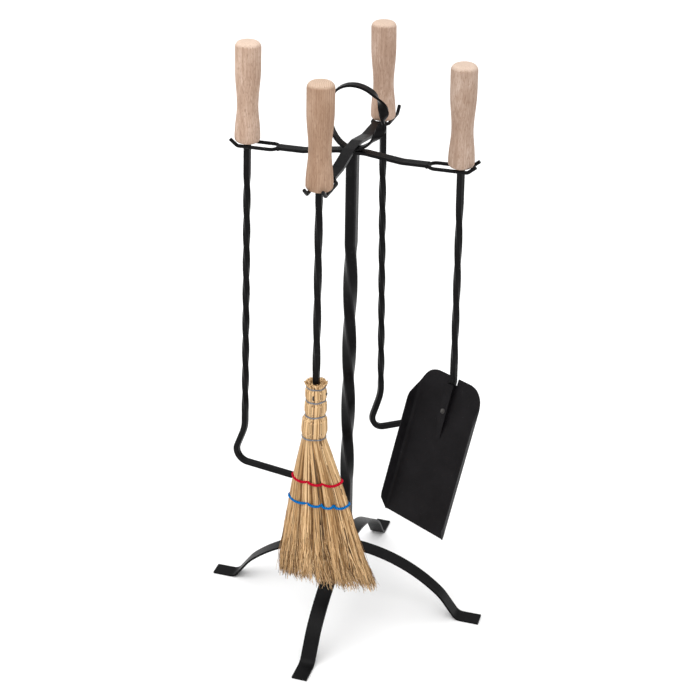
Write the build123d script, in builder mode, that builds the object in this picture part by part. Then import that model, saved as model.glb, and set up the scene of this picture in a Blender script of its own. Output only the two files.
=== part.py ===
from build123d import *

import os
from math import cos, pi, radians, sin

os.makedirs("parts", exist_ok=True)

# Fireplace tool set: a welded steel stand that holds a poker, a broom, a shovel and a second hook.
# Millimetres, +Z up. The origin is on the floor under the post. The poker hangs on the left arm (-X),
# the broom on the front arm (-Y), the shovel on the right arm (+X) and the second hook at the back (+Y).

# Overall sizes
seat_height = 580  # floor to the tops of the side forks' prongs, which the handles rest on
fore_lift = 2.5  # how much higher the front and back forks stand
arm_reach = 118  # post centre to the middle of each fork
foot_reach = 172  # post centre to the toe tips

# Post: square bar with a straight length at each end and whole quarter turns between
post_side = 12.4
post_corner = 1.4
post_quarter_turns = 4
post_plain_top = 105
post_plain_bottom = 85

# Foot bars: flat bar, arched
foot_width = 18
foot_thick = 2.5
fore_foot_turn = -1  # degrees the fore bar is turned on the side bar
toe_length = 22
toe_bend = 12  # radius of the bend that lays the toe flat
toe_straight = 22  # straight length above that bend
foot_slope = 54  # steepest slope, in degrees
crown_slope = 42  # slope at which the wide crown arc gives way to the tighter shoulder arc
shoulder_share = 0.31  # shoulder radius over crown radius

# Arm bars: flat bar, crossing on the post with the carry loop's strip between them
arm_width = 12.4
arm_thick = 3.2
arm_rise = 5.5  # how far the side bar's middle stands above its ends
arm_flat = 15  # half length of the raised middle
arm_ramp = 40  # length of the slope down to the outer part
arm_bend = 22
fork_length = 35  # bar end to the middle of the fork
fore_bar_rise = 2  # how far the fore bar's ends stand above the prongs it carries
back_reach = 20  # how much further back the fore bar and its fork reach

# Forks: round rod bent to a U, tips turned up
rod = 4
prong_gap = 15.5  # clear width between the prongs
fork_bend = 8
tip_start = 10  # middle of the fork to where the tips turn up
tip_run = 8.5
tip_lift = 7
tip_bend = 5
weld_bead = 2.4
weld_bite = 0.4  # how far the rod is melted into the bar's end

# Carry loop: flat strip bent to a teardrop ring with one full twist on its right side
loop_width = 10.5
loop_thick = 2.6
loop_height = 70
loop_half_width = 30.3
loop_set = 3  # how far the ring's middle is set over towards +X
loop_narrowing = 0.1  # narrower below, wider above
loop_twist_from = 33  # degrees round the ring from its foot
loop_twist_to = 147
loop_steps = 72
loop_sample = 0.5  # degrees either side, to find the strip's direction
loop_butt_gap = 0.4  # between the strip's two ends, under the upper bar

# Handles: turned wood on a round tang
handle_length = 112
handle_radius = 14.1
handle_waist = 11.7
waist_height = 38  # above the handle's lower end
shoulder_height = 84
foot_band = 7
handle_top_round = 6.5
handle_foot_round = 5
tang_radius = 3.2
tang_length = 70
tang_clearance = 0.05
seat_clearance = 0.3  # between a handle and the prongs

# Shafts: square bar
shaft_side = 6.9
shaft_corner = 1.3

# Hooked feet of the poker and the second hook
hook_out = 20  # slope of the outward set, in degrees
hook_set_radius = 55
hook_set_straight = 20
hook_bend = 15
hook_arm = 60
hook_point = 24  # length drawn down to the tip
hook_tip_share = 0.35

# Each tool: where it hangs, the way its front faces, how far it leans and towards what (degrees)
poker_offset = 2  # beyond the middle of its fork
poker_lean = 1.4
poker_facing = -9
poker_height = 171  # floor to the hook arm's centre line
poker_plain_top = 38
poker_plain_bottom = 12
poker_quarter_turns = 8

rake_offset = 1  # to the right of the middle of its fork
rake_lean = 1.1
rake_facing = 35
rake_height = 179
rake_plain_top = 42
rake_plain_bottom = 6
rake_quarter_turns = 8

shovel_offset = 0.8
shovel_lean = 3.2
shovel_lean_towards = 84
shovel_facing = -118
shovel_bend_height = 316  # floor to the bend where the shaft meets the blade
shovel_plain_top = 43
shovel_plain_bottom = 22
shovel_quarter_turns = 4

broom_lean = 0.5
broom_facing = 0
straw_top = 363.5
straw_bottom = 108
broom_plain_top = 14
broom_plain_bottom = 10
broom_quarter_turns = 4
broom_shaft_foot = 284

# Shovel blade: folded sheet, tilted forward from the shaft
blade_tilt = 20.5
blade_length = 179  # from the bend down to the lip
blade_top = 5  # how far the lobes stand above the bend
blade_floor = 89
blade_wall = 12.5
blade_flare = 4
sheet = 1.5
fold_radius = 5
notch_half = 6
notch_drop = 3
wall_lip = 24  # how far short of the lip the walls end
tail_bend = 12
tail_straight = 44
tail_length = 53
tail_end = 4
channel_depth = 5
channel_clearance = 0.2
channel_length = 70
channel_end_half = 1
channel_end_rise = 0.3
shoulder_drop = 40  # bend down to where the walls begin
lobe_slant = 0.3  # how far the lobe leans in as it leaves the wall, per unit of height
lobe_middle = 21  # centre line to the highest point of each lobe
rivet_radius = 1.6
rivet_head = 3
rivet_head_height = 1
rivet_head_slope = 30
rivet_place = 36  # from the bend

# Broom bindings, stitching and nails
wire_radius = 0.8
wire_heights = [358, 342, 323.5, 296.5]
stitch_heights = {"red": 242, "blue": 214}
stitch_tall = 3
stitch_thick = 1.6
nail_radius = 1.1
nail_head = 2.2
nail_height = 350.5
nail_step = 3.3  # the second nail stands this much lower

# Outline of the straw: height, half width, half depth, sideways shift of its middle
straw_outline = [
    (straw_top, 11.6, 10.8, 0),
    (361, 11.4, 10.5, 0),
    (358, 9.8, 8.8, 0),
    (350.5, 11.4, 10.8, 0),
    (342, 10.6, 10.2, 0),
    (333.5, 11.6, 11.0, 0),
    (323.5, 10.8, 10.2, -0.5),
    (311, 14.0, 13.0, -1),
    (296.5, 13.2, 12.0, -1.5),
    (274, 18.5, 13.0, 0.5),
    (242, 27.5, 12.5, 3.2),
    (214, 34.0, 12.5, 5.6),
    (175, 43.0, 14.5, 8.6),
    (140, 51.0, 15.5, 12),
    (straw_bottom, 58.5, 16.0, 17.5),
]


# ---------------------------------------------------------------- Stand

prong_offset = (prong_gap + rod) / 2
side_bar_top = seat_height + arm_rise
stack = arm_thick + loop_thick
post_top = side_bar_top - arm_thick

foot_run = sin(radians(crown_slope)) * (1 - shoulder_share) + sin(radians(foot_slope)) * shoulder_share
foot_rise = 1 - cos(radians(crown_slope)) * (1 - shoulder_share) - cos(radians(foot_slope)) * shoulder_share
lift_per_straight = sin(radians(foot_slope)) - cos(radians(foot_slope)) * foot_rise / foot_run


def foot_sizes(lift):
    """Straight length, crown radius and middle height of a foot bar raised by lift over the lower one."""
    straight = toe_straight + lift / lift_per_straight
    bend_run = toe_bend * sin(radians(foot_slope)) + straight * cos(radians(foot_slope))
    crown = (foot_reach - toe_length - bend_run) / foot_run
    bend_rise = toe_bend * (1 - cos(radians(foot_slope))) + straight * sin(radians(foot_slope))
    return straight, crown, foot_thick / 2 + bend_rise + crown * foot_rise


def draw_foot_bar(plane, lift):
    """Arched flat bar in a plane whose Y is up, drawn from the middle outwards and mirrored."""
    straight, crown, middle = foot_sizes(lift)
    with BuildSketch(plane) as outline:
        with BuildLine():
            crown_arc = JernArc((0, middle), (1, 0), crown, -crown_slope)
            steeper = crown_slope - foot_slope
            shoulder = JernArc(crown_arc @ 1, crown_arc % 1, crown * shoulder_share, steeper)
            shin = Line(shoulder @ 1, (shoulder @ 1) + (shoulder % 1) * straight)
            ankle = JernArc(shin @ 1, shin % 1, toe_bend, foot_slope)
            Line(ankle @ 1, (ankle @ 1) + Vector(toe_length, 0))
        trace(line_width=foot_thick)
        mirror(about=Plane.YZ)
    extrude(outline.sketch, amount=foot_width / 2, both=True)


def draw_arm_bar(plane, middle_top, end_top, near_end, far_end):
    """Flat bar in a plane whose Y is up, from -near_end to far_end, with its middle raised."""
    raised = middle_top - arm_thick / 2
    low = end_top - arm_thick / 2
    ramp_foot = arm_flat + arm_ramp
    with BuildSketch(plane) as outline:
        with BuildLine():
            FilletPolyline((-near_end, low), (-ramp_foot, low), (-arm_flat, raised),
                           (arm_flat, raised), (ramp_foot, low), (far_end, low), radius=arm_bend)
        trace(line_width=arm_thick)
    extrude(outline.sketch, amount=arm_width / 2, both=True)


with BuildPart() as foot_bar_side:
    draw_foot_bar(Plane.XZ, 0)
foot_bar_side.part.label = "foot_bar_side"
export_step(foot_bar_side.part, "parts/foot_bar_side.step")

with BuildPart() as foot_bar_fore:
    draw_foot_bar(Plane.YZ.rotated((0, 0, fore_foot_turn)), foot_thick)
    add(foot_bar_side.part, mode=Mode.SUBTRACT)
foot_bar_fore.part.label = "foot_bar_fore"
export_step(foot_bar_fore.part, "parts/foot_bar_fore.step")

post_foot = foot_sizes(foot_thick)[2] + foot_thick / 2


def draw_square_bar(plane, side, corner, bottom, top):
    """Straight square bar along a plane's Z, between two distances from it."""
    with BuildSketch(plane.offset(bottom)) as section:
        RectangleRounded(side, side, corner)
    extrude(section.sketch, amount=top - bottom)


def draw_twisted_bar(plane, side, corner, bottom, top, quarter_turns):
    """Square bar twisted left-handed by whole quarter turns, so that it meets straight bar at each end."""
    start = plane.offset(bottom)
    with BuildSketch(start) as section:
        RectangleRounded(side, side, corner)
    rise = start.z_dir * (top - bottom)
    add(Solid.extrude_linear_with_rotation(section.sketch.face(), start.origin, rise, -90 * quarter_turns))


with BuildPart() as post:
    twist_bottom = post_foot + post_plain_bottom
    twist_top = post_top - post_plain_top
    draw_square_bar(Plane.XY, post_side, post_corner, post_foot, twist_bottom)
    draw_twisted_bar(Plane.XY, post_side, post_corner, twist_bottom, twist_top, post_quarter_turns)
    draw_square_bar(Plane.XY, post_side, post_corner, twist_top, post_top)
post.part.label = "post"
export_step(post.part, "parts/post.step")

bar_end = arm_reach - fork_length

with BuildPart() as arm_bar_side:
    draw_arm_bar(Plane.XZ, side_bar_top, seat_height, bar_end, bar_end)
arm_bar_side.part.label = "arm_bar_side"
export_step(arm_bar_side.part, "parts/arm_bar_side.step")

with BuildPart() as arm_bar_fore:
    fore_end_top = seat_height + fore_lift + fore_bar_rise
    draw_arm_bar(Plane.YZ, side_bar_top + stack, fore_end_top, bar_end, bar_end + back_reach)
arm_bar_fore.part.label = "arm_bar_fore"
export_step(arm_bar_fore.part, "parts/arm_bar_fore.step")

with BuildPart() as bent_rod:
    rod_height = seat_height - rod / 2
    crotch = bar_end + rod / 2 - weld_bite
    tips_turn = arm_reach + tip_start
    with BuildLine(Plane.XY.rotated((0, 0, 180))) as prongs:
        FilletPolyline(
            (tips_turn + tip_run, prong_offset, rod_height + tip_lift),
            (tips_turn, prong_offset, rod_height),
            (crotch, prong_offset, rod_height),
            (crotch, -prong_offset, rod_height),
            (tips_turn, -prong_offset, rod_height),
            (tips_turn + tip_run, -prong_offset, rod_height + tip_lift),
            radius=[tip_bend, fork_bend, fork_bend, tip_bend],
        )
    with BuildSketch(Plane(origin=prongs.line @ 0, z_dir=prongs.line % 0)):
        Circle(rod / 2)
    sweep(path=prongs.line)
    bead_offset = (arm_width - weld_bead) / 2
    with Locations((-bar_end, bead_offset, rod_height), (-bar_end, -bead_offset, rod_height)):
        Sphere(weld_bead)

for near_name, far_name, turn, bar, lift, further in (
    ("left", "right", 0, arm_bar_side, 0, 0),
    ("front", "back", 90, arm_bar_fore, fore_lift, back_reach),
):
    with BuildPart() as near_fork:
        add(bent_rod.part.translate((0, 0, lift)).rotate(Axis.Z, turn))
        add(bar.part, mode=Mode.SUBTRACT)
    with BuildPart() as far_fork:
        add(near_fork.part.rotate(Axis.Z, 180).translate(Vector(further, 0, 0).rotate(Axis.Z, turn)))
    for side_name, fork in ((near_name, near_fork), (far_name, far_fork)):
        fork.part.label = "fork_" + side_name
        export_step(fork.part, "parts/fork_" + side_name + ".step")


def loop_point(turn):
    """Point on the carry loop's centre line, turn degrees round from its foot towards +X."""
    t = radians(turn)
    reach = loop_half_width * sin(t) * (1 - loop_narrowing * cos(t)) + loop_set * sin(t) ** 2
    return Vector(reach, 0, side_bar_top + loop_thick / 2 + loop_height * (1 - cos(t)) / 2)


def loop_twist(turn):
    """Twist of the strip in degrees: none before the twisted stretch, a full turn after it."""
    share = min(max((turn - loop_twist_from) / (loop_twist_to - loop_twist_from), 0), 1)
    return -360 * share * share * (3 - 2 * share)


with BuildPart() as carry_loop:
    butt_angle = loop_butt_gap / 2 / (loop_half_width * (1 - loop_narrowing)) * 180 / pi
    for step in range(loop_steps + 1):
        turn = butt_angle + (360 - 2 * butt_angle) * step / loop_steps
        along = (loop_point(turn + loop_sample) - loop_point(turn - loop_sample)).normalized()
        across = Vector(0, 1, 0).rotate(Axis((0, 0, 0), along), loop_twist(turn))
        with BuildSketch(Plane(origin=loop_point(turn), x_dir=across, z_dir=along)):
            Rectangle(loop_width, loop_thick)
    loft()
    add([arm_bar_side.part, arm_bar_fore.part], mode=Mode.SUBTRACT)
carry_loop.part.label = "carry_loop"
export_step(carry_loop.part, "parts/carry_loop.step")


# ---------------------------------------------------------------- Tools


def hanging_plane(x, y, lift, facing, lean, lean_towards):
    """A tool's own plane at its seat: Z up the shaft, X the way the tool's front faces."""
    dip = (handle_radius - handle_foot_round) * sin(radians(lean))
    slope = radians(lean)
    heading = radians(lean_towards)
    up = Vector(-sin(slope) * cos(heading), -sin(slope) * sin(heading), cos(slope))
    front = Vector(cos(radians(facing)), sin(radians(facing)), 0)
    return Plane(origin=(x, y, seat_height + lift + seat_clearance + dip), x_dir=front, z_dir=up)


def below_seat(plane, height):
    """Distance along a tool's own axis, from its seat to a height above the floor (negative is down)."""
    return (height - plane.origin.Z) / plane.z_dir.Z


planes = {
    "poker": hanging_plane(-arm_reach - poker_offset, 0, 0, poker_facing, poker_lean, 180),
    "rake": hanging_plane(rake_offset, arm_reach, fore_lift, rake_facing, rake_lean, 0),
    "shovel": hanging_plane(arm_reach + shovel_offset, 0, 0, shovel_facing, shovel_lean,
                            shovel_lean_towards),
    "broom": hanging_plane(0, -arm_reach, fore_lift, broom_facing, broom_lean, 180),
}

for tool, plane in planes.items():
    with BuildPart() as handle:
        with BuildSketch(Plane(origin=plane.origin, x_dir=plane.x_dir, z_dir=-plane.y_dir)):
            with BuildLine():
                Polyline((handle_radius, foot_band), (handle_radius, 0), (0, 0), (0, handle_length),
                         (handle_radius, handle_length), (handle_radius, shoulder_height))
                Spline((handle_radius, shoulder_height), (handle_waist, waist_height),
                       (handle_radius, foot_band), tangents=((0, -1), (0, -1)))
            make_face()
        revolve(axis=Axis(plane.origin, plane.z_dir))
        rims = handle.part.faces().filter_by(GeomType.PLANE).sort_by(Axis(plane.origin, plane.z_dir))
        fillet(rims[-1].edges(), handle_top_round)
        fillet(rims[0].edges(), handle_foot_round)
        with BuildSketch(plane):
            Circle(tang_radius + tang_clearance)
        extrude(amount=tang_length + tang_clearance, mode=Mode.SUBTRACT)
    handle.part.label = tool + "_handle"
    export_step(handle.part, "parts/" + tool + "_handle.step")


def draw_shaft(plane, plain_top, twist_foot, quarter_turns):
    """A tool's tang, straight upper end and twisted length, down to twist_foot below the seat."""
    with BuildSketch(plane) as tang:
        Circle(tang_radius)
    extrude(tang.sketch, amount=tang_length)
    draw_square_bar(plane, shaft_side, shaft_corner, -plain_top, 0)
    draw_twisted_bar(plane, shaft_side, shaft_corner, twist_foot, -plain_top, quarter_turns)


def hook_rise():
    """Height of the hooked foot, from its arm's centre line up to the straight bar."""
    out = radians(hook_out)
    bend = hook_bend * (1 + sin(out))
    return bend + hook_set_straight * cos(out) + hook_set_radius * sin(out)


def draw_hook(plane, arm_height):
    """Hooked foot: the bar sets outward, then turns in to a level arm drawn down to a point."""
    side_plane = Plane(origin=plane.origin, x_dir=plane.x_dir, z_dir=-plane.y_dir)
    with BuildLine() as route:
        outward = JernArc((0, arm_height + hook_rise()), (0, -1), hook_set_radius, -hook_out)
        slant = Line(outward @ 1, (outward @ 1) + (outward % 1) * hook_set_straight)
        turn_in = JernArc(slant @ 1, slant % 1, hook_bend, 90 + hook_out)
        Line(turn_in @ 1, (turn_in @ 1) + (turn_in % 1) * hook_arm)
    path = side_plane.from_local_coords(route.line)
    with BuildSketch(Plane(origin=path @ 0, x_dir=plane.x_dir, z_dir=-plane.z_dir)) as section:
        RectangleRounded(shaft_side, shaft_side, shaft_corner)
    sweep(section.sketch, path=path)
    tip = Plane(origin=path @ 1, x_dir=plane.y_dir, z_dir=path % 1)
    with BuildSketch(tip) as root:
        RectangleRounded(shaft_side, shaft_side, shaft_corner)
    with BuildSketch(tip.offset(hook_point)) as point:
        RectangleRounded(*[size * hook_tip_share for size in (shaft_side, shaft_side, shaft_corner)])
    loft([root.sketch, point.sketch])


for tool, arm_level, plain_top, plain_bottom, quarter_turns in (
    ("poker", poker_height, poker_plain_top, poker_plain_bottom, poker_quarter_turns),
    ("rake", rake_height, rake_plain_top, rake_plain_bottom, rake_quarter_turns),
):
    arm_drop = below_seat(planes[tool], arm_level)
    hook_top = arm_drop + hook_rise()
    with BuildPart() as shaft:
        draw_shaft(planes[tool], plain_top, hook_top + plain_bottom, quarter_turns)
        draw_square_bar(planes[tool], shaft_side, shaft_corner, hook_top, hook_top + plain_bottom)
        draw_hook(planes[tool], arm_drop)
    shaft.part.label = tool + "_shaft"
    export_step(shaft.part, "parts/" + tool + "_shaft.step")

# Shovel: the shaft bends forward into a flattened tail, which lies in the blade's pressed channel.
shovel_plane = planes["shovel"]
bend_drop = below_seat(shovel_plane, shovel_bend_height)
blade_normal = shovel_plane.x_dir * cos(radians(blade_tilt)) + shovel_plane.z_dir * sin(radians(blade_tilt))
blade_root = shovel_plane.offset(bend_drop).origin
blade_plane = Plane(origin=blade_root, x_dir=shovel_plane.y_dir, z_dir=blade_normal)
floor_back = shaft_side / 2 - channel_depth
channel_front = shaft_side / 2 + channel_clearance
channel_half = shaft_side / 2 + channel_clearance


def across_blade(drop):
    """Plane square to the blade's length, drop below the bend, with X across and Y out of the pan."""
    return Plane(origin=blade_plane.from_local_coords((0, -drop, 0)), x_dir=blade_plane.x_dir,
                 z_dir=-blade_plane.y_dir)


with BuildPart() as shovel_shaft:
    bend_reach = tail_bend * sin(radians(blade_tilt)) / (1 + cos(radians(blade_tilt)))
    straight_foot = bend_drop + bend_reach
    twist_foot = straight_foot + shovel_plain_bottom
    draw_shaft(shovel_plane, shovel_plain_top, twist_foot, shovel_quarter_turns)
    draw_square_bar(shovel_plane, shaft_side, shaft_corner, straight_foot, twist_foot)
    with BuildLine() as bend:
        curve = JernArc((0, straight_foot), (0, -1), tail_bend, blade_tilt)
        Line(curve @ 1, (curve @ 1) + (curve % 1) * (tail_straight - bend_reach))
    shovel_side = Plane(origin=shovel_plane.origin, x_dir=shovel_plane.x_dir, z_dir=-shovel_plane.y_dir)
    bend_path = shovel_side.from_local_coords(bend.line)
    bend_start = Plane(origin=bend_path @ 0, x_dir=shovel_plane.x_dir, z_dir=-shovel_plane.z_dir)
    with BuildSketch(bend_start) as square:
        RectangleRounded(shaft_side, shaft_side, shaft_corner)
    sweep(square.sketch, path=bend_path)
    with BuildSketch(across_blade(tail_straight)) as tail_root:
        RectangleRounded(shaft_side, shaft_side, shaft_corner)
    with BuildSketch(across_blade(tail_length)) as tail_tip:
        RectangleRounded(tail_end, tail_end, shaft_corner)
    loft([tail_root.sketch, tail_tip.sketch])
    with BuildSketch(blade_plane) as rivet_hole:
        with Locations((0, -rivet_place)):
            Circle(rivet_radius)
    extrude(rivet_hole.sketch, amount=shaft_side, both=True, mode=Mode.SUBTRACT)
shovel_shaft.part.label = "shovel_shaft"
export_step(shovel_shaft.part, "parts/shovel_shaft.step")


def draw_channel(grow, mode):
    """Pressed channel: straight down to the tail's taper, then run out to nothing; grow adds the sheet."""
    sections = []
    for drop, half, front in (
        (-blade_top, channel_half, channel_front),
        (tail_straight, channel_half, channel_front),
        (channel_length, channel_end_half, floor_back + channel_end_rise),
    ):
        back = floor_back - sheet if grow == 0 else floor_back
        with BuildSketch(across_blade(drop)) as section:
            with Locations((0, (front + grow + back) / 2)):
                Rectangle(2 * (half + grow), front + grow - back)
        sections.append(section.sketch)
    loft(sections[:2], mode=mode)
    loft(sections[1:], mode=mode)


with BuildPart() as shovel_blade:
    wide = blade_floor / 2 + blade_flare
    floor_middle = floor_back + sheet / 2
    with BuildSketch(across_blade(-blade_top)) as fold:
        with BuildLine():
            FilletPolyline((-wide, floor_middle + blade_wall), (-blade_floor / 2, floor_middle),
                           (blade_floor / 2, floor_middle), (wide, floor_middle + blade_wall),
                           radius=fold_radius)
        trace(line_width=sheet)
    extrude(fold.sketch, amount=blade_length + blade_top, dir=-blade_plane.y_dir)
    with BuildSketch(blade_plane) as outline:
        with BuildLine():
            edge = wide + sheet
            lip = Line((0, -blade_length), (blade_floor / 2, -blade_length))
            wall_foot = Line(lip @ 1, (edge, wall_lip - blade_length))
            wall_side = Line(wall_foot @ 1, (edge, -shoulder_drop))
            lobe = Spline(wall_side @ 1, (lobe_middle, blade_top), tangents=((-lobe_slant, 1), (-1, 0)))
            Polyline(lobe @ 1, (notch_half, blade_top), (notch_half, -notch_drop), (0, -notch_drop))
            Line((0, -notch_drop), (0, -blade_length))
        make_face()
        mirror(about=Plane.YZ)
    extrude(outline.sketch, amount=blade_wall * 2, both=True, mode=Mode.INTERSECT)
    draw_channel(sheet, Mode.ADD)
    draw_channel(0, Mode.SUBTRACT)
    with BuildSketch(blade_plane) as top_cut:
        with Locations((0, blade_top)):
            Rectangle(2 * notch_half, 2 * (blade_top + notch_drop))
    extrude(top_cut.sketch, amount=blade_wall, both=True, mode=Mode.SUBTRACT)
    with BuildSketch(blade_plane) as rivet_hole:
        with Locations((0, -rivet_place)):
            Circle(rivet_radius)
    extrude(rivet_hole.sketch, amount=blade_wall, mode=Mode.SUBTRACT)
shovel_blade.part.label = "shovel_blade"
export_step(shovel_blade.part, "parts/shovel_blade.step")

with BuildPart() as shovel_rivet:
    grip = shaft_side / 2 + channel_front + sheet
    with BuildSketch(blade_plane.offset(-shaft_side / 2)):
        with Locations((0, -rivet_place)):
            Circle(rivet_radius)
    extrude(amount=grip)
    for face_height, direction in ((channel_front + sheet, 1), (-shaft_side / 2, -1)):
        with BuildSketch(blade_plane.offset(face_height)) as head:
            with Locations((0, -rivet_place)):
                Circle(rivet_head)
        extrude(head.sketch, amount=direction * rivet_head_height, taper=rivet_head_slope)
shovel_rivet.part.label = "shovel_rivet"
export_step(shovel_rivet.part, "parts/shovel_rivet.step")

# Broom: straw bound round the shaft with wire, pinned with nails and stitched flat below.
broom_plane = planes["broom"]

with BuildPart() as broom_shaft:
    twist_foot = below_seat(broom_plane, straw_top + broom_plain_bottom)
    shaft_foot = below_seat(broom_plane, broom_shaft_foot)
    draw_shaft(broom_plane, broom_plain_top, twist_foot, broom_quarter_turns)
    draw_square_bar(broom_plane, shaft_side, shaft_corner, shaft_foot, twist_foot)
broom_shaft.part.label = "broom_shaft"
export_step(broom_shaft.part, "parts/broom_shaft.step")


def straw_size(height):
    """Half width, half depth and sideways shift of the straw at a height, between its outline's points."""
    for upper, lower in zip(straw_outline, straw_outline[1:]):
        if lower[0] <= height <= upper[0]:
            share = (upper[0] - height) / (upper[0] - lower[0])
            return [a + (b - a) * share for a, b in zip(upper[1:], lower[1:])]


bindings = {}
for number, height in enumerate(wire_heights, start=1):
    bindings["broom_wire_" + str(number)] = (height, 2 * wire_radius, 2 * wire_radius)
for colour, height in stitch_heights.items():
    bindings["broom_stitch_" + colour] = (height, stitch_tall, stitch_thick)

binding_parts = []
for name, (height, tall, thick) in bindings.items():
    half_width, half_depth, shift = straw_size(height)
    with BuildPart() as binding:
        with BuildSketch(broom_plane.offset(below_seat(broom_plane, height) - tall / 2)):
            with Locations((shift, 0)):
                Ellipse(half_width + thick / 2, half_depth + thick / 2)
                Ellipse(half_width - thick / 2, half_depth - thick / 2, mode=Mode.SUBTRACT)
        extrude(amount=tall)
    binding.part.label = name
    export_step(binding.part, "parts/" + name + ".step")
    binding_parts.append(binding.part)

with BuildPart() as broom_nails:
    half_width, half_depth, shift = straw_size(nail_height)
    for turn, reach, step_down in ((0, half_width, 0), (-90, half_depth, nail_step)):
        level = broom_plane.offset(below_seat(broom_plane, nail_height - step_down))
        level_axis = Axis(level.origin, level.z_dir)
        nail_line = Plane(origin=level.origin, x_dir=level.z_dir, z_dir=level.x_dir.rotate(level_axis, turn))
        with BuildSketch(nail_line.offset(shaft_side / 2)) as shank:
            Circle(nail_radius)
        extrude(shank.sketch, amount=reach - shaft_side / 2)
        with BuildSketch(nail_line.offset(reach)) as head:
            Circle(nail_head)
        extrude(head.sketch, amount=nail_radius)
broom_nails.part.label = "broom_nails"
export_step(broom_nails.part, "parts/broom_nails.step")

with BuildPart() as broom_straw:
    for height, half_width, half_depth, shift in straw_outline:
        with BuildSketch(broom_plane.offset(below_seat(broom_plane, height))):
            with Locations((shift, 0)):
                Ellipse(half_width, half_depth)
    loft(ruled=True)
    for held in [broom_shaft.part, broom_nails.part] + binding_parts:
        add(held, mode=Mode.SUBTRACT)
broom_straw.part.label = "broom_straw"
export_step(broom_straw.part, "parts/broom_straw.step")
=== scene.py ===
import math

import bpy
import numpy as np
from mathutils import Matrix, Vector


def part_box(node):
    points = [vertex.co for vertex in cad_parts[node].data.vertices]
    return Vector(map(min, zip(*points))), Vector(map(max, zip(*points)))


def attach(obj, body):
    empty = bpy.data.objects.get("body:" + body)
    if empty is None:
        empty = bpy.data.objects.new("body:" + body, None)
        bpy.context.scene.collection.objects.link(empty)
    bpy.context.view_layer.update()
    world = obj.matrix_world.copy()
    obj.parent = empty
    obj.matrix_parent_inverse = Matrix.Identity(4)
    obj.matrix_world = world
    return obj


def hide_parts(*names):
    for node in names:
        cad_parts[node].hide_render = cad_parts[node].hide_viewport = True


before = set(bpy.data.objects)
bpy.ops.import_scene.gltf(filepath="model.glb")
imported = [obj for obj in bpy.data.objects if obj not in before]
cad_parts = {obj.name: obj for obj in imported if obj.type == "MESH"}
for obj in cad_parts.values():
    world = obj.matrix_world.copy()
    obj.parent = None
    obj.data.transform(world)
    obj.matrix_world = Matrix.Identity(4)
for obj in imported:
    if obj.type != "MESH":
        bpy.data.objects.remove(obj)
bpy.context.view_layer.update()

# ---------------------------------------------------------------- Stand
# A welded steel stand: a twisted square post, two arched flat bars for feet, two flat arms with bent
# rod forks, and a flat strip twisted into a ring to carry it by. All of it is blackened and waxed, so
# it is a deep matt black that is rubbed a little greyer along the corners.


class Signal:
    """A shader socket that can be used in sums; each sum adds its Math node."""

    def __init__(self, socket):
        self.socket = socket

    def _sum(self, operation, first, second=0.0, clamp=False):
        tree = self.socket.id_data
        node = tree.nodes.new("ShaderNodeMath")
        node.operation = operation
        node.use_clamp = clamp
        for slot, value in zip(node.inputs, (first, second)):
            if isinstance(value, Signal):
                tree.links.new(value.socket, slot)
            else:
                slot.default_value = value
        return Signal(node.outputs[0])

    def __add__(self, other):
        return self._sum("ADD", self, other)

    def __radd__(self, other):
        return self._sum("ADD", other, self)

    def __sub__(self, other):
        return self._sum("SUBTRACT", self, other)

    def __rsub__(self, other):
        return self._sum("SUBTRACT", other, self)

    def __mul__(self, other):
        return self._sum("MULTIPLY", self, other)

    def __rmul__(self, other):
        return self._sum("MULTIPLY", other, self)

    def __pow__(self, other):
        return self._sum("POWER", self, other)

    def sine(self):
        return self._sum("SINE", self)

    def held(self):
        """Kept between 0 and 1."""
        return self._sum("ADD", self, 0.0, clamp=True)


class Finish:
    """A material under construction. Its pattern starts from "at", the place on the piece in metres."""

    def __init__(self, name):
        self.material = bpy.data.materials.new(name)
        self.material.use_nodes = True
        self.tree = self.material.node_tree
        self.tree.nodes.clear()
        self.at = self.node("TexCoord", {}, {}, "Object")

    def node(self, kind, settings, values, out=0):
        """Adds a node, sets its settings, then its sockets' values or links, and gives one output."""
        node = self.tree.nodes.new("ShaderNode" + kind)
        for key, value in settings.items():
            if key == "stops":
                ramp = node.color_ramp.elements
                while len(ramp) < len(value):
                    ramp.new(0.5)
                for element, (place, shade) in zip(ramp, value):
                    element.position = place
                    element.color = (*shade, 1)
            else:
                setattr(node, key, value)
        for key, value in values.items():
            if isinstance(value, Signal):
                self.tree.links.new(value.socket, node.inputs[key])
            elif isinstance(value, tuple) and len(value) == 3 and node.inputs[key].type == "RGBA":
                node.inputs[key].default_value = (*value, 1)
            else:
                node.inputs[key].default_value = value
        return Signal(node.outputs[out])

    def noise(self, at, scale, detail=2.0, roughness=0.5):
        """Cloudy noise between 0 and 1, with scale blobs to the metre."""
        values = {"Vector": at, "Scale": scale, "Detail": detail, "Roughness": roughness}
        return self.node("TexNoise", {}, values, "Fac")

    def stretched(self, at, across, along):
        """The place scaled for a pattern that runs along Z."""
        values = {"Vector": at, "Scale": (across, across, along)}
        return self.node("Mapping", {"vector_type": "POINT"}, values)

    def blend(self, share, first, second):
        """The first colour, giving way to the second as the share goes to 1."""
        return self.node("Mix", {"data_type": "RGBA"}, {0: share, 6: first, 7: second}, 2)

    def ramp(self, value, stops):
        """A colour picked by a value from stops, each a place and a colour."""
        return self.node("ValToRGB", {"stops": stops}, {"Fac": value})

    def surface(self, height, depth, strength, values):
        """Ends the material: a bump of the given depth in metres, then the shader."""
        bump = self.node("Bump", {}, {"Height": height, "Distance": depth, "Strength": strength})
        shader = self.node("BsdfPrincipled", {}, {**values, "Normal": bump})
        output = self.tree.nodes.new("ShaderNodeOutputMaterial")
        self.tree.links.new(shader.socket, output.inputs["Surface"])
        return self.material


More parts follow.
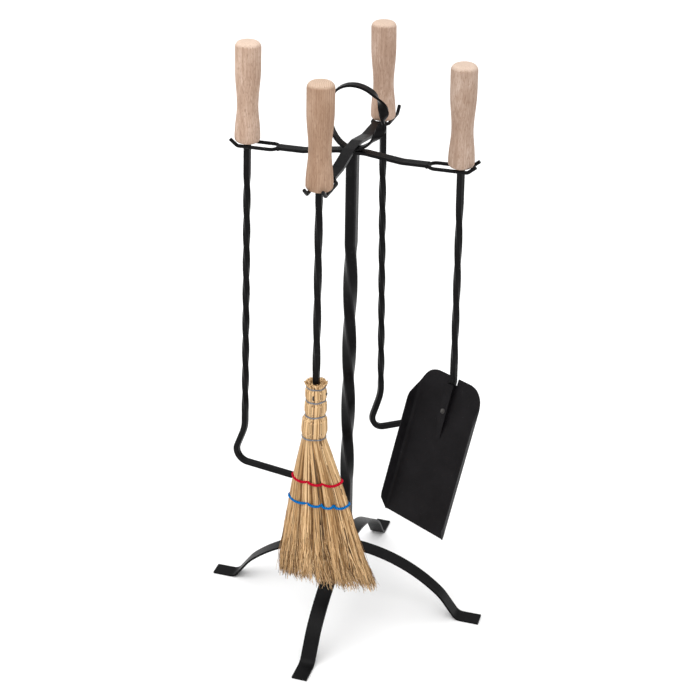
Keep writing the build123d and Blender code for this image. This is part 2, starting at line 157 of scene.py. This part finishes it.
def blackened_steel(name, corner_from=None):
    """Black waxed steel. corner_from is how far from the Z axis an upright bar's corners rub grey."""
    steel = Finish(name)
    cloud = steel.noise(steel.at, 42.0, 4.0, 0.6)
    hammer = steel.noise(steel.at, 210.0, 2.0)
    grit = steel.noise(steel.at, 1500.0, 2.0, 0.7)
    scratches = steel.noise(steel.stretched(steel.at, 900.0, 60.0), 1.0, 3.0, 0.7)
    rubbed = ((scratches - 0.66) * 7.0).held() * 0.5 + ((hammer - 0.60) * 4.0).held() * 0.25
    if corner_from is not None:
        x, y = [steel.node("SeparateXYZ", {}, {"Vector": steel.at}, axis) for axis in "XY"]
        corner = (((x * x + y * y) ** 0.5 - corner_from) * 1400.0).held()
        rubbed = rubbed + corner * cloud * 0.8
    black = steel.ramp(cloud, [(0.3, (0.0006, 0.0005, 0.0007)), (0.7, (0.0042, 0.0040, 0.0044))])
    colour = steel.blend(rubbed.held(), black, (0.036, 0.035, 0.037))
    height = hammer * 0.55 + grit * 0.45 - scratches * 0.12
    return steel.surface(height, 0.00035, 0.55, {
        "Base Color": colour,
        "Roughness": 0.26 + cloud * 0.14 + grit * 0.12,
        "Specular IOR Level": 0.10,
    })


def give(material, *nodes):
    """A carried-over piece gets its finish."""
    for name in nodes:
        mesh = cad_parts[name].data
        mesh.materials.clear()
        mesh.materials.append(material)


forged = blackened_steel("blackened_steel_bar")
rubbed_corner = 0.0073
give(blackened_steel("blackened_steel_post", rubbed_corner), "post")
give(forged, "foot_bar_side", "foot_bar_fore", "arm_bar_side", "arm_bar_fore", "carry_loop",
     "fork_left", "fork_front", "fork_right", "fork_back")

# ---------------------------------------------------------------- Tool shafts
# Square bar of the same blackened steel, twisted over most of its length. The poker and the second
# hook are bent and drawn down at the foot, the shovel's ends in a flattened tail.

give(forged, "poker_shaft", "rake_shaft", "shovel_shaft", "broom_shaft")

# ---------------------------------------------------------------- Shovel blade
# One pressed sheet of thin steel, folded up at both sides, with a channel pressed in for the shaft's
# tail. It is blackened like the bars, but the sheet is smoother and shows the rolling marks.

sheet = Finish("blackened_steel_sheet")
sheet_cloud = sheet.noise(sheet.at, 26.0, 5.0, 0.62)
sheet_grain = sheet.noise(sheet.stretched(sheet.at, 700.0, 90.0), 1.0, 3.0, 0.6)
sheet_dents = sheet.noise(sheet.at, 75.0, 1.0)
sheet_specks = ((sheet.noise(sheet.at, 620.0, 2.0) - 0.70) * 9.0).held()
sheet_black = sheet.ramp(sheet_cloud, [(0.3, (0.0030, 0.0025, 0.0032)), (0.72, (0.0092, 0.0082, 0.0096))])
sheet_colour = sheet.blend(sheet_specks * 0.6, sheet_black, (0.06, 0.058, 0.06))
give(sheet.surface(sheet_dents * 0.75 + sheet_grain * 0.18 + sheet_cloud * 0.3, 0.0011, 0.5, {
    "Base Color": sheet_colour,
    "Roughness": 0.40 + sheet_cloud * 0.16 + sheet_grain * 0.06,
    "Specular IOR Level": 0.12,
}), "shovel_blade")

# ---------------------------------------------------------------- Rivet
# A bare steel rivet closes the shovel's blade on its shaft. Its head is worn bright on the high spots
# and dull brown where the hammer struck it.

bare = Finish("bare_steel")
bare_cloud = bare.noise(bare.at, 320.0, 3.0, 0.6)
bare_strikes = bare.noise(bare.at, 1100.0, 2.0)
bare_colour = bare.ramp(bare_cloud, [(0.38, (0.022, 0.019, 0.017)), (0.66, (0.15, 0.145, 0.14))])
bare_steel = bare.surface(bare_strikes, 0.0002, 0.6, {
    "Base Color": bare_colour,
    "Metallic": 0.55 + bare_cloud * 0.4,
    "Roughness": 0.36 + bare_strikes * 0.25,
})
give(bare_steel, "shovel_rivet")

# ---------------------------------------------------------------- Handles
# Beech, turned between centres on a lathe with a waist for the hand, sanded and left without finish.
# Each is bored and driven on to the tang of its shaft. The flecks are beech's own rays.


def turned_beech(name, foot, pith, ring_turn, tint):
    """Beech with its rings round a pith that lies beside the handle, in the direction of ring_turn."""
    beech = Finish(name)
    local = beech.node("Mapping", {"vector_type": "POINT"}, {"Vector": beech.at, "Location": -foot})
    bent = beech.noise(beech.stretched(local, 24.0, 7.0), 1.0, 3.0, 0.55)
    x, y, z = [beech.node("SeparateXYZ", {}, {"Vector": local}, axis) for axis in "XYZ"]
    off_x, off_y = pith * math.cos(ring_turn), pith * math.sin(ring_turn)
    from_pith = ((x - off_x) * (x - off_x) + (y - off_y) * (y - off_y)) ** 0.5
    reach = from_pith + bent * 0.007 + z * 0.012
    rings = (reach * 3100.0).sine() * 0.5 + 0.5
    fibre = beech.noise(beech.stretched(local, 900.0, 22.0), 1.0, 4.0, 0.7)
    fleck = beech.noise(beech.stretched(local, 1000.0, 230.0), 1.0, 1.0)
    flecks = ((fleck - 0.55) * 8.0).held()
    cloud = beech.noise(beech.stretched(local, 75.0, 22.0), 1.0, 4.0, 0.6)
    # The top end shows its end grain rings more strongly. It is also painted paler, as a painted highlight
    # where the overhead light falls on it.
    end_grain_and_top_light = ((z - 0.1072) * 330.0).held()
    figure = cloud * 0.62 + rings * (0.07 + end_grain_and_top_light * 0.22) + fibre * 0.42 + end_grain_and_top_light * 0.08
    wood = beech.ramp(figure, [
        (0.35, (0.350, 0.218, 0.148)), (0.55, (0.51, 0.350, 0.258)), (0.76, (0.70, 0.53, 0.43))])
    tinted = {"data_type": "RGBA", "blend_type": "MULTIPLY"}
    toned = beech.node("Mix", tinted, {0: 1.0, 6: wood, 7: tint}, 2)
    flecked = beech.blend(flecks * 0.46, toned, (0.22, 0.12, 0.07))
    # Painted highlight: the top end is blended towards a pale colour, less so on the rings.
    colour = beech.blend(end_grain_and_top_light * (0.46 - rings * 0.34), flecked, (0.88, 0.70, 0.55))
    return beech.surface(fibre * 0.6 - flecks * 0.25 + rings * 0.2, 0.00022, 0.45, {
        "Base Color": colour,
        "Roughness": 0.58 + fibre * 0.12 - flecks * 0.04,
        "Specular IOR Level": 0.32,
    })


beech_tints = {
    "poker": (0.97, 0.97, 0.97),
    "rake": (0.81, 0.79, 0.78),
    "shovel": (0.78, 0.79, 0.80),
    "broom": (0.70, 0.63, 0.55),
}
for number, (tool, tint) in enumerate(beech_tints.items()):
    low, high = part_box(tool + "_handle")
    foot = Vector(((low.x + high.x) / 2, (low.y + high.y) / 2, low.z))
    pith = 0.017 + 0.005 * number
    ring_turn = 0.7 + 1.9 * number
    give(turned_beech("beech_" + tool, foot, pith, ring_turn, tint), tool + "_handle")

# ---------------------------------------------------------------- Broom straw
# A bundle of broomcorn, bound round the shaft at the top and stitched flat below. Each stalk is a
# strand of its own, cut off square at the top, and it branches into finer straw towards the bottom.

random = np.random.default_rng(41)
straw_low, straw_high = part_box("broom_straw")
straw_y = (straw_low.y + straw_high.y) / 2

# Height, half width, half depth and middle of the bundle, from the top down
straw_shape = np.array([
    (0.3635, 0.0112, 0.0104, -0.0019),
    (0.3610, 0.0108, 0.0099, -0.0019),
    (0.3580, 0.0090, 0.0081, -0.0020),
    (0.3540, 0.0109, 0.0103, -0.0020),
    (0.3465, 0.0111, 0.0105, -0.0020),
    (0.3420, 0.0092, 0.0088, -0.0021),
    (0.3385, 0.0113, 0.0107, -0.0021),
    (0.3290, 0.0115, 0.0109, -0.0024),
    (0.3235, 0.0094, 0.0088, -0.0028),
    (0.3190, 0.0128, 0.0120, -0.0031),
    (0.3040, 0.0138, 0.0128, -0.0037),
    (0.2965, 0.0118, 0.0106, -0.0040),
    (0.2740, 0.0185, 0.0130, -0.0022),
    (0.2420, 0.0275, 0.0125, 0.0002),
    (0.2140, 0.0340, 0.0125, 0.0024),
    (0.1750, 0.0430, 0.0145, 0.0050),
    (0.1400, 0.0510, 0.0155, 0.0081),
    (0.1080, 0.0585, 0.0160, 0.0134),
])[::-1]


def straw_at(height):
    """Half width, half depth and middle of the bundle at one height or many."""
    return [np.interp(height, straw_shape[:, 0], straw_shape[:, column]) for column in (1, 2, 3)]


def solid_piece(name, points, faces, tone, material):
    """A piece from points and faces. tone is each point's share of light colour, from 0 to 1."""
    mesh = bpy.data.meshes.new(name)
    mesh.from_pydata(points.tolist(), [], faces)
    shade = mesh.attributes.new("tone", "FLOAT", "POINT")
    shade.data.foreach_set("value", tone.astype(np.float32))
    mesh.materials.append(material)
    piece = bpy.data.objects.new(name, mesh)
    bpy.context.scene.collection.objects.link(piece)
    return piece


def tubes(name, paths, radii, sides, tone, material, frames=None):
    """
    One piece of closed tubes, smooth round their sides. paths holds a place for each tube and step,
    radii and tone a number for each. frames are two directions across each step; without them the
    tubes are cut level.
    """
    count, length = radii.shape
    turn = np.arange(sides) * 2 * np.pi / sides
    if frames is None:
        rings = np.stack([np.cos(turn), np.sin(turn), np.zeros(sides)], 1)[None, None]
    else:
        first, second = frames
        rings = (np.cos(turn)[None, None, :, None] * first[:, :, None]
                 + np.sin(turn)[None, None, :, None] * second[:, :, None])
    points = paths[:, :, None, :] + rings * radii[:, :, None, None]
    places = (np.arange(count), np.arange(length - 1), np.arange(sides))
    tube, step, side = np.meshgrid(*places, indexing="ij")
    here = (tube * length + step) * sides
    following = (side + 1) % sides
    above = here + sides
    walls = np.stack([here + side, here + following, above + following, above + side], -1)
    starts = (np.arange(count) * length * sides)[:, None]
    caps = [starts + np.arange(sides)[::-1], starts + (length - 1) * sides + np.arange(sides)]
    faces = walls.reshape(-1, 4).tolist() + caps[0].tolist() + caps[1].tolist()
    tones = np.repeat(tone.reshape(-1), sides)
    piece = solid_piece(name, points.reshape(-1, 3), faces, tones, material)
    piece.data.polygons.foreach_set("use_smooth", [True] * len(faces))
    return piece


def dried_straw(name, dark, middle, light):
    """Dry straw, in three colours that a stalk's tone picks from."""
    straw = Finish(name)
    tone = straw.node("Attribute", {"attribute_name": "tone"}, {}, "Fac")
    fibre = straw.noise(straw.stretched(straw.at, 1500.0, 40.0), 1.0, 3.0, 0.6)
    cloud = straw.noise(straw.stretched(straw.at, 150.0, 30.0), 1.0, 3.0)
    shade = tone * 0.78 + fibre * 0.20 + cloud * 0.14
    colour = straw.ramp(shade, [(0.15, dark), (0.48, middle), (0.80, light)])
    return straw.surface(fibre + cloud * 0.5, 0.0003, 0.5, {
        "Base Color": colour,
        "Roughness": 0.52 + fibre * 0.16,
        "Specular IOR Level": 0.4,
    })


broomcorn = dried_straw("broomcorn", (0.060, 0.027, 0.009), (0.405, 0.222, 0.082), (0.82, 0.565, 0.305))
furrows = np.array([-0.56, -0.14, 0.26, 0.62])  # across the bundle, as shares of its half width
furrow_width = 0.075
furrow_depth = 0.34


def furrow(across):
    """1 in the furrow between two stitched bundles, falling to 0 on a bundle's back."""
    near = np.abs(across[..., None] - furrows).min(-1)
    return np.exp(-((near / furrow_width) ** 2))


def straw_points(angle, depth, heights):
    """Places in the bundle: an angle round it and a depth from 0 at its middle to 1 at its skin."""
    wide, thick, middle = straw_at(heights)
    across = np.cos(angle)
    below_wires = np.clip((0.295 - heights) / 0.04, 0, 1)
    above_tips = np.clip((heights - 0.12) / 0.08, 0.15, 1)
    sink = 1 - furrow_depth * furrow(across) * below_wires * above_tips
    x = middle + wide * depth * across
    y = straw_y + thick * depth * np.sin(angle) * sink
    return np.stack([x, y, heights], -1)


def faded(heights, start, run):
    """0 above the start, going to 1 over the run below it."""
    return np.clip((start - heights) / run, 0, 1)


stalk_count = 820
bound_steps = 25  # close together, to follow the bindings
free_steps = 18
bound_share = 0.27  # of a stalk's length
in_skin = 0.72  # share of the stalks that lie in the bundle's skin
skin_from = 0.93  # depth where the skin starts
fray_from = 0.3590
stalk_angle = random.uniform(0, 2 * np.pi, stalk_count)
stalk_depth = np.where(random.random(stalk_count) < in_skin, random.uniform(skin_from, 1.0, stalk_count),
                       random.uniform(0.5, skin_from, stalk_count))
stalk_top = 0.3613 + random.uniform(-0.0024, 0.0024, stalk_count)
clump = 0.5 + 0.5 * np.sin(stalk_angle * 17 + 1.3) * np.sin(stalk_angle * 7 + 0.4)
stalk_foot = 0.1075 + random.gamma(1.5, 0.0040, stalk_count) + 0.006 * clump
share = np.concatenate([np.linspace(0, bound_share, bound_steps),
                        np.linspace(bound_share, 1, free_steps)[1:]])[None]
heights = stalk_top[:, None] + (stalk_foot - stalk_top)[:, None] * share
low_down = faded(heights, 0.26, 0.15)
wander = np.cumsum(random.normal(0, 1, heights.shape), 1)
wander = wander - wander[:, :1]
sway = random.uniform(0, 2 * np.pi, (stalk_count, 1))
angle = (stalk_angle[:, None] + (0.012 * wander + 0.05 * np.sin(heights * 70 + sway)) * low_down
         + 0.04 * np.sin(heights * 26 + sway) * faded(heights, 0.30, 0.10))
frayed = np.clip((heights - fray_from) / 0.006, 0, 1) * random.uniform(-0.05, 0.22, (stalk_count, 1))
depth = stalk_depth[:, None] + 0.02 * np.sin(heights * 160 + 2 * sway) * low_down
depth = np.minimum(depth, 1.03) + frayed
stalks = straw_points(angle, depth, heights)
for axis in (0, 1):
    stalks[..., axis] += random.normal(0, 0.00022, heights.shape) * low_down
stalk_size = random.uniform(0.00055, 0.00112, stalk_count)[:, None]
stalk_radii = stalk_size * (1 - 0.45 * share ** 2) * np.where(share == 1, 0.35, 1)
# Painted shade: a stalk is darker where it lies in a furrow between the stitched bundles, and darker the
# deeper it lies inside the bundle.
furrow_shade = furrow(np.cos(angle)) * faded(heights, 0.30, 0.05)
own_tone = np.clip(random.normal(0.54, 0.24, stalk_count), 0.0, 1.1)[:, None]
depth_shade = np.clip(0.72 + stalk_depth[:, None] * 0.28, 0, 1)
stalk_tone_and_shade = own_tone * (1 - 0.55 * furrow_shade) * np.where(heights > 0.30, 1.14, 1.0) * depth_shade
for half, chosen in (("front", np.sin(stalk_angle) < 0), ("back", np.sin(stalk_angle) >= 0)):
    strands = tubes("broom_straw_" + half, stalks[chosen], stalk_radii[chosen], 4, stalk_tone_and_shade[chosen],
                    broomcorn)
    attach(strands, "broom")
    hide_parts("broom_straw")

# Fine branches: each leaves its stalk in the lower half and wanders off on its own
branch_count = 1700
branch_steps = 12
lowest_tip = 0.1045
branch_shape = (branch_count, branch_steps)
parent = random.integers(0, stalk_count, branch_count)
branch_top = random.uniform(0.135, 0.215, branch_count)
branch_foot = np.maximum(stalk_foot[parent] + random.normal(0, 0.004, branch_count), lowest_tip)
branch_share = np.linspace(0, 1, branch_steps)[None]
branch_height = branch_top[:, None] + (branch_foot - branch_top)[:, None] * branch_share
branch_angle = stalk_angle[parent][:, None] + random.normal(0, 0.05, (branch_count, 1)) * branch_share
branch_angle = branch_angle + 0.02 * np.cumsum(random.normal(0, 1, branch_shape), 1) * branch_share
branch_depth = stalk_depth[parent][:, None] + random.uniform(0.0, 0.045, (branch_count, 1)) * branch_share
branches = straw_points(branch_angle, branch_depth, branch_height)
for axis, stray in ((0, 0.00034), (1, 0.00020)):
    branches[..., axis] += np.cumsum(random.normal(0, stray, branch_shape), 1)
branch_radii = random.uniform(0.00022, 0.00046, (branch_count, 1)) * (1 - 0.4 * branch_share)
branch_tone = np.clip(random.normal(0.48, 0.32, (branch_count, 1)), 0.0, 1.1) * np.ones(branch_shape)
fine = tubes("broom_straw_branches", branches, branch_radii, 3, branch_tone, broomcorn)
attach(fine, "broom")
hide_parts("broom_straw")

# The heart of the bundle, which closes the gaps between the stalks
heart_heights = np.concatenate([np.linspace(0.3555, 0.29, 24), np.linspace(0.286, 0.124, 34)])
heart_sides = 72
heart_share = 0.90  # of the bundle's half width
around = np.arange(heart_sides) * 2 * np.pi / heart_sides
ribs = heart_share * (1 + 0.012 * np.sin(around * 23) + 0.01 * np.sin(around * 41 + 1))
heart = np.concatenate([straw_points(around, ribs, np.full(heart_sides, level)) for level in heart_heights])
heart_faces = [list(range(heart_sides))[::-1], list(range(len(heart) - heart_sides, len(heart)))]
for row in range(0, len(heart) - heart_sides, heart_sides):
    for side in range(heart_sides):
        following = (side + 1) % heart_sides
        heart_faces.append([row + side, row + following, row + heart_sides + following,
                            row + heart_sides + side])
# Its tone is near the darkest straw colour, as painted shade in the gaps between the stalks.
heart_piece = solid_piece("broom_straw_shaded_heart", heart, heart_faces, np.full(len(heart), 0.02), broomcorn)
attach(heart_piece, "broom")
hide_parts("broom_straw")

# ---------------------------------------------------------------- Wire bindings
# Four bindings of soft galvanised wire, each wound twice round the straw, pulled tight and twisted off
# at the side, with the twist pressed in among the stalks.

galvanised = Finish("galvanised_wire")
wire_cloud = galvanised.noise(galvanised.at, 420.0, 3.0, 0.6)
wire_colour = galvanised.ramp(wire_cloud, [(0.3, (0.10, 0.11, 0.13)), (0.7, (0.30, 0.32, 0.36))])
wire_finish = galvanised.surface(galvanised.noise(galvanised.at, 2200.0), 0.00012, 0.5, {
    "Base Color": wire_colour,
    "Metallic": 0.6 + wire_cloud * 0.3,
    "Roughness": 0.38 + wire_cloud * 0.2,
})


def swept(name, line, size, sides, material):
    """A round piece swept along a line of points. size is its radius, or one for each point."""
    along = np.gradient(line, axis=0)
    along /= np.linalg.norm(along, axis=1)[:, None]
    side = np.empty_like(along)
    side[0] = np.cross(along[0], (0.0, 0.0, 1.0))
    side[0] /= np.linalg.norm(side[0])
    for step in range(1, len(line)):
        side[step] = side[step - 1] - along[step] * (side[step - 1] @ along[step])
        side[step] /= np.linalg.norm(side[step])
    other = np.cross(along, side)
    radii = np.broadcast_to(size, len(line))[None]
    return tubes(name, line[None], radii, sides, np.full(radii.shape, 0.5), material,
                 (side[None], other[None]))


wire_radius = 0.00062
wire_drop = 0.0011  # between a binding's two turns
tuck_depth = 0.0012  # how far its ends go in among the stalks
wire_stand = 0.0014  # how far its turns stand out over the stalks' middles
for number in range(1, 5):
    low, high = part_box("broom_wire_" + str(number))
    level = (low.z + high.z) / 2
    turns = np.linspace(-0.35, 4 * np.pi - 0.2, 150)
    climb = np.interp(turns, (turns[0], turns[-1]), (-wire_drop / 2, wire_drop / 2))
    wobble = 0.00035 * np.sin(turns * 2 + number) + 0.0002 * np.sin(turns * 5 + 2 * number)
    wide, thick, middle = straw_at(np.full(len(turns), level))
    tuck = np.clip(np.minimum(turns - turns[0], turns[-1] - turns) / 0.25, 0, 1)
    skin = (wire_stand + tuck_depth) * tuck - tuck_depth
    line = np.stack([middle + (wide + skin) * np.cos(turns), straw_y + (thick + skin) * np.sin(turns),
                     level + climb + wobble], 1)
    wire = swept("broom_binding_" + str(number), line, wire_radius, 8, wire_finish)
    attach(wire, "broom")
    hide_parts("broom_wire_" + str(number))

# ---------------------------------------------------------------- Nails
# Two short steel nails pin the straw to the shaft. One is driven in from the side up to its head, the
# other has been bent over and hammered down against the straw.

nail_low, nail_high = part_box("broom_nails")
shank = 0.0009
nail_head = 0.0019
side_reach = np.array([-0.0050, -0.0010, -0.0009, 0.0])  # from the face of the head
side_line = np.stack([nail_high.x + side_reach, np.full(4, straw_y), np.full(4, nail_high.z - nail_head)], 1)
side_nail = swept("broom_nail_side", side_line, np.array([shank, shank, nail_head, 0.0017]), 14, bare_steel)
bent_shank = 0.0008
bend_height = nail_low.z + 0.0034
bend_depth, bend_middle = straw_at(bend_height)[1:]
# Out of the straw, over the bend and down: across, out from the skin, and up from the bend
bent_line = np.array([(0.0, -0.0030, 0.0024), (0.0, 0.0006, 0.0021), (0.0, 0.0010, 0.0012),
                      (0.0003, 0.0009, -0.0024)])
bent_line = bent_line * (1, -1, 1) + (bend_middle + 0.0004, straw_y - bend_depth, bend_height)
bent_sizes = np.array([bent_shank, bent_shank, bent_shank, 0.0005])
front_nail = swept("broom_nail_front", bent_line, bent_sizes, 12, bare_steel)
for nail in (side_nail, front_nail):
    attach(nail, "broom")
    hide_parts("broom_nails")

# ---------------------------------------------------------------- Stitching
# Two rows of thick twisted cord, red above and blue below, sewn through the straw. The cord lies over
# each bundle in a shallow curve and dives between the bundles, so the row has a scalloped line.


def twisted_cord(name, ply_groove_shade, bright):
    """Thick cotton cord, with painted shade in its colour between its plies."""
    cord = Finish(name)
    x, z = [cord.node("SeparateXYZ", {}, {"Vector": cord.at}, axis) for axis in "XZ"]
    plies = ((x * 2900.0 + z * 3600.0).sine() * 0.5 + 0.5) ** 0.7
    fuzz = cord.noise(cord.at, 2600.0, 3.0, 0.7)
    # Painted shade: the colour darkens in the grooves between the plies.
    colour = cord.ramp(plies * 0.7 + fuzz * 0.3, [(0.15, ply_groove_shade), (0.75, bright)])
    return cord.surface(plies + fuzz * 0.4, 0.0006, 0.8, {
        "Base Color": colour,
        "Roughness": 0.78 + fuzz * 0.12,
        "Specular IOR Level": 0.12,
    })


furrow_reach = 0.035  # how close to a furrow the cord starts to dive
cord_sag = 0.0022
# The colour between the plies, which is painted shade, the colour on the plies, the places where the cord
# dives, and its radius
stitches = {
    "red": ((0.22, 0.0, 0.008), (0.60, 0.002, 0.028), (-1.0, -0.28, 0.36, 1.0), 0.00145),
    "blue": ((0.0, 0.050, 0.20), (0.0, 0.190, 0.56), (-1.0, -0.30, 0.18, 0.58, 1.0), 0.00140),
}
for colour_name, (ply_groove_shade, bright, dives, cord_radius) in stitches.items():
    low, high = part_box("broom_stitch_" + colour_name)
    level = (low.z + high.z) / 2
    turn = np.linspace(0, 2 * np.pi, 241)
    across = np.cos(turn)
    dive = np.array(dives)
    place = np.clip(np.searchsorted(dive, across, side="right") - 1, 0, len(dive) - 2)
    within = (across - dive[place]) / (dive[place + 1] - dive[place])
    sag = np.sin(np.pi * np.clip(within, 0, 1))
    near = np.abs(across[:, None] - dive[None, 1:-1]).min(1)
    sunk = np.exp(-((near / furrow_reach) ** 2))
    wide, thick, middle = straw_at(np.full(len(turn), level))
    skin = 1.035 - 0.20 * sunk
    line = np.stack([middle + (wide + 0.0006) * across * (1.01 - 0.02 * sunk),
                     straw_y + (thick + 0.0002) * skin * np.sin(turn),
                     level + 0.0012 - cord_sag * sag + 0.0009 * sunk], 1)
    cord_material = twisted_cord(colour_name + "_cord", ply_groove_shade, bright)
    stitch = swept("broom_stitching_" + colour_name, line, cord_radius, 10, cord_material)
    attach(stitch, "broom")
    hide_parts("broom_stitch_" + colour_name)

# ---------------------------------------------------------------- Floor, light and camera
# A plain pale floor under soft, even studio light, with a long lens from a little above.

paper = Finish("pale_floor")
paper_tone = paper.noise(paper.at, 3.0, 2.0)
paper_colour = paper.ramp(paper_tone, [(0.2, (0.93, 0.93, 0.93)), (0.8, (0.95, 0.95, 0.95))])
floor_material = paper.surface(paper.noise(paper.at, 300.0), 0.0001, 0.1, {
    "Base Color": paper_colour,
    "Roughness": 0.9,
    "Specular IOR Level": 0.1,
})
floor_reach = 14.0
floor_corners = np.array([(-1, -1, 0), (1, -1, 0), (1, 1, 0), (-1, 1, 0)]) * floor_reach
floor = solid_piece("floor", floor_corners, [(0, 1, 2, 3)], np.ones(4), floor_material)

# The room: pale at the horizon, dim above it and bright overhead, by the height of the direction
glows = ((0.06, 0.64), (0.18, 0.16), (0.35, 0.2), (0.9, 0.95))
world = bpy.data.worlds.new("studio")
world.use_nodes = True
sky = world.node_tree
direction = sky.nodes.new("ShaderNodeTexCoord")
split = sky.nodes.new("ShaderNodeSeparateXYZ")
sky.links.new(direction.outputs["Generated"], split.inputs[0])
glow = sky.nodes.new("ShaderNodeValToRGB")
sky.links.new(split.outputs["Z"], glow.inputs["Fac"])
levels = glow.color_ramp.elements
while len(levels) < len(glows):
    levels.new(0.5)
for element, (place, level) in zip(levels, glows):
    element.position = place
    element.color = (level, level, level, 1.0)
sky.links.new(glow.outputs["Color"], sky.nodes["Background"].inputs["Color"])
sky.nodes["Background"].inputs["Strength"].default_value = 1.6
bpy.context.scene.world = world

# Each light's direction, power and spread in degrees
lights = {
    "key": ((0.55, 0.75, -1.0), 1.25, 60),
    "side": ((-1.0, 0.6, -0.7), 0.45, 70),
}
for light_name, (towards, power, spread) in lights.items():
    lamp = bpy.data.lights.new(light_name, "SUN")
    lamp.energy = power
    lamp.angle = math.radians(spread)
    light = bpy.data.objects.new(light_name, lamp)
    light.rotation_mode = "QUATERNION"
    light.rotation_quaternion = Vector(towards).to_track_quat("-Z", "Y")
    bpy.context.scene.collection.objects.link(light)

camera_place = Vector((0.4188, -1.4426, 1.1208))
camera_heading = Vector((-0.2782, 0.9605, 0.0)).normalized()
camera_pitch = math.radians(27.34)
camera_roll = math.radians(1.07)
camera_data = bpy.data.cameras.new("camera")
camera_data.sensor_width = 36.0
camera_data.lens = 76.0
camera_data.clip_start = 0.05
camera = bpy.data.objects.new("camera", camera_data)
bpy.context.scene.collection.objects.link(camera)
forward = camera_heading * math.cos(camera_pitch) - Vector((0, 0, 1)) * math.sin(camera_pitch)
level_right = Vector((camera_heading.y, -camera_heading.x, 0.0))
level_up = level_right.cross(forward)
right = level_right * math.cos(camera_roll) + level_up * math.sin(camera_roll)
up = level_up * math.cos(camera_roll) - level_right * math.sin(camera_roll)
turned = Matrix((right, up, -forward)).transposed().to_4x4()
camera.matrix_world = Matrix.Translation(camera_place) @ turned
bpy.context.scene.camera = camera
bpy.context.scene.view_settings.view_transform = "Standard"
